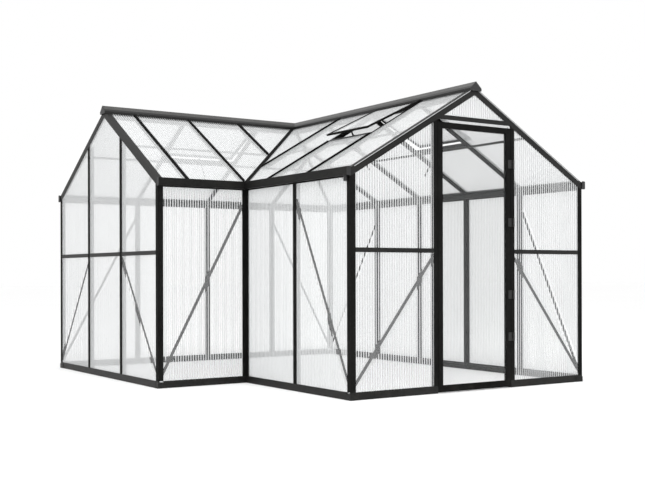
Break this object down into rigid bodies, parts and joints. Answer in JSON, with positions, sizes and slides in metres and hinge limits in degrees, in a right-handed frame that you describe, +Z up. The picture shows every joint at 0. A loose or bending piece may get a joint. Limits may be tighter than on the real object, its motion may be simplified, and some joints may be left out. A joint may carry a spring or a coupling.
{
  "type": "walk-in corner greenhouse",
  "caption": "Walk-in L-plan greenhouse with a black metal frame, ribbed translucent panels, gabled wings, a hinged clear door and ridge-hung roof vents.",
  "frame": {"origin": "middle of the whole outline, on the ground", "axes": "+Z up, the door gable faces -Y, the short wing points to -X"},
  "size_m": [2.651, 3.299, 2.003],
  "materials": {
    "black_frame": "fine satin powder coat",
    "multiwall_panel": "ribbed translucent twin-wall sheet",
    "clear_pane": "clear sheet",
    "steel": "zinc plated"
  },
  "bodies": {
    "house": {"base_corner_brackets": "black_frame", "base_rail_left_gable": "black_frame", "base_rails_front": "black_frame", "base_rails_inner": "black_frame", "base_rails_outer": "black_frame", "brace_bolts": "steel", "braces": "black_frame", "corner_posts_eaves": "black_frame", "corner_posts_front": "black_frame", "corner_posts_left": "black_frame", "door_hinge_brackets": "black_frame", "door_hinge_pins": "steel", "door_posts": "black_frame", "door_transom": "black_frame", "eave_back": "black_frame", "eave_inner_front": "black_frame", "eave_inner_side": "black_frame", "eave_right": "black_frame", "gable_mullions": "black_frame", "gable_rafters_front": "black_frame", "gable_rafters_left": "black_frame", "glazing_bars_back": "black_frame", "glazing_bars_inner_front": "black_frame", "glazing_bars_inner_side": "black_frame", "glazing_bars_right": "black_frame", "gutter_end_caps": "black_frame", "gutter_outlet": "black_frame", "hip_bar": "black_frame", "mid_rails_front": "black_frame", "mid_rails_left": "black_frame", "purlins": "black_frame", "ridge_beams": "black_frame", "ridge_caps": "black_frame", "ridge_end_caps": "black_frame", "roof_panels_back": "multiwall_panel", "roof_panels_inner_front": "multiwall_panel", "roof_panels_inner_side": "multiwall_panel", "roof_panels_right": "multiwall_panel", "valley_bar": "black_frame", "vent_hinge_hooks": "black_frame", "vent_sills": "black_frame", "wall_panels_back": "multiwall_panel", "wall_panels_front": "multiwall_panel", "wall_panels_inner": "multiwall_panel", "wall_panels_left": "multiwall_panel", "wall_panels_right": "multiwall_panel", "wall_post_inner": "black_frame", "wall_posts_outer": "black_frame"},
    "door": {"door_frame": "black_frame", "door_pane": "clear_pane", "door_hinge_leaves": "black_frame"},
    "vent_inner": {"vent_inner_sash": "black_frame", "vent_inner_pane": "multiwall_panel"},
    "vent_inner_stay": {"vent_inner_stay": "black_frame"},
    "vent_right": {"vent_right_sash": "black_frame", "vent_right_pane": "multiwall_panel"},
    "vent_right_stay": {"vent_right_stay": "black_frame"},
    "vent_back": {"vent_back_sash": "black_frame", "vent_back_pane": "multiwall_panel"},
    "vent_back_stay": {"vent_back_stay": "black_frame"}
  },
  "joints": [
    {"name": "door_swing", "type": "hinge", "parent": "house", "child": "door", "pos_m": [0.6485, -1.6435, 0.9], "axis": [0, 0, 1], "range_deg": [0, 115]},
    {"name": "vent_inner_tilt", "type": "hinge", "parent": "house", "child": "vent_inner", "pos_m": [0.25523, -0.8685, 1.93739], "axis": [0, 1, 0], "range_deg": [-4.5, 28]},
    {"name": "vent_inner_stay_swing", "type": "hinge", "parent": "vent_inner", "child": "vent_inner_stay", "pos_m": [-0.13023, -0.8685, 1.73542], "axis": [0, 1, 0], "range_deg": [-14.5, 2.5]},
    {"name": "vent_right_tilt", "type": "hinge", "parent": "house", "child": "vent_right", "pos_m": [0.38977, -0.714, 1.93739], "axis": [0, -1, 0], "range_deg": [-4.5, 28]},
    {"name": "vent_right_stay_swing", "type": "hinge", "parent": "vent_right", "child": "vent_right_stay", "pos_m": [0.77523, -0.714, 1.73542], "axis": [0, -1, 0], "range_deg": [-14.5, 2.5]},
    {"name": "vent_back_tilt", "type": "hinge", "parent": "house", "child": "vent_back", "pos_m": [-0.3275, 0.71377, 1.93739], "axis": [1, 0, 0], "range_deg": [-4.5, 28]},
    {"name": "vent_back_stay_swing", "type": "hinge", "parent": "vent_back", "child": "vent_back_stay", "pos_m": [-0.3275, 1.09923, 1.73542], "axis": [1, 0, 0], "range_deg": [-14.5, 2.5]}
  ],
  "couplings": [
    {"joint": "vent_inner_stay_swing", "follows": "vent_inner_tilt", "ratio": -0.5},
    {"joint": "vent_right_stay_swing", "follows": "vent_right_tilt", "ratio": -0.5},
    {"joint": "vent_back_stay_swing", "follows": "vent_back_tilt", "ratio": -0.5}
  ]
}
